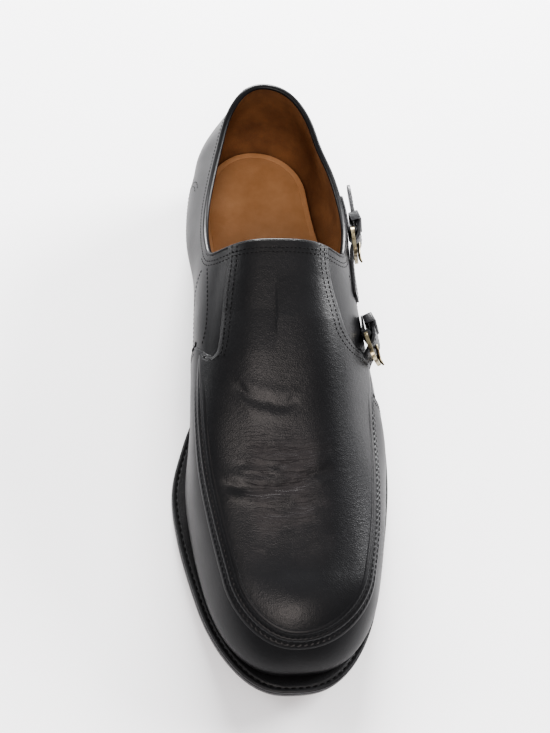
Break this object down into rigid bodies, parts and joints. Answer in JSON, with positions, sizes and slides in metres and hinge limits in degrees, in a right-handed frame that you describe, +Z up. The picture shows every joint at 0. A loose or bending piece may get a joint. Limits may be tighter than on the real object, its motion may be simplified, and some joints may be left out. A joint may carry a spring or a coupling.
{
  "type": "monk strap shoe",
  "caption": "Low black leather shoe with a raised apron, a square throat, side straps with buckles, a stitched welt and a stacked heel.",
  "frame": {"origin": "on the floor under the middle of the heel, 36 mm forward of the sole's rear end", "axes": "+Z up, +Y back toward the heel so that the toe points to -Y, +X to the outer side of the left foot"},
  "size_m": [0.1125, 0.3045, 0.1024],
  "materials": {
    "calf_leather": "semi-gloss black",
    "strap_leather": "black, satin",
    "sole_leather": "black dressed edge",
    "heel_rubber": "matte black",
    "sock_leather": "natural tan, matte",
    "bronze": "antique bronze plating"
  },
  "bodies": {
    "root": {"outsole": "sole_leather", "welt": "sole_leather", "heel_stack": "sole_leather", "heel_top_lift": "heel_rubber", "insole": "sock_leather", "upper": "calf_leather", "apron": "calf_leather", "back_strap": "calf_leather", "upper_strap": "strap_leather", "upper_tab": "strap_leather", "upper_keeper": "strap_leather", "upper_buckle": "bronze", "upper_prong": "bronze", "lower_strap": "strap_leather", "lower_tab": "strap_leather", "lower_keeper": "strap_leather", "lower_buckle": "bronze", "lower_prong": "bronze"}
  },
  "joints": []
}
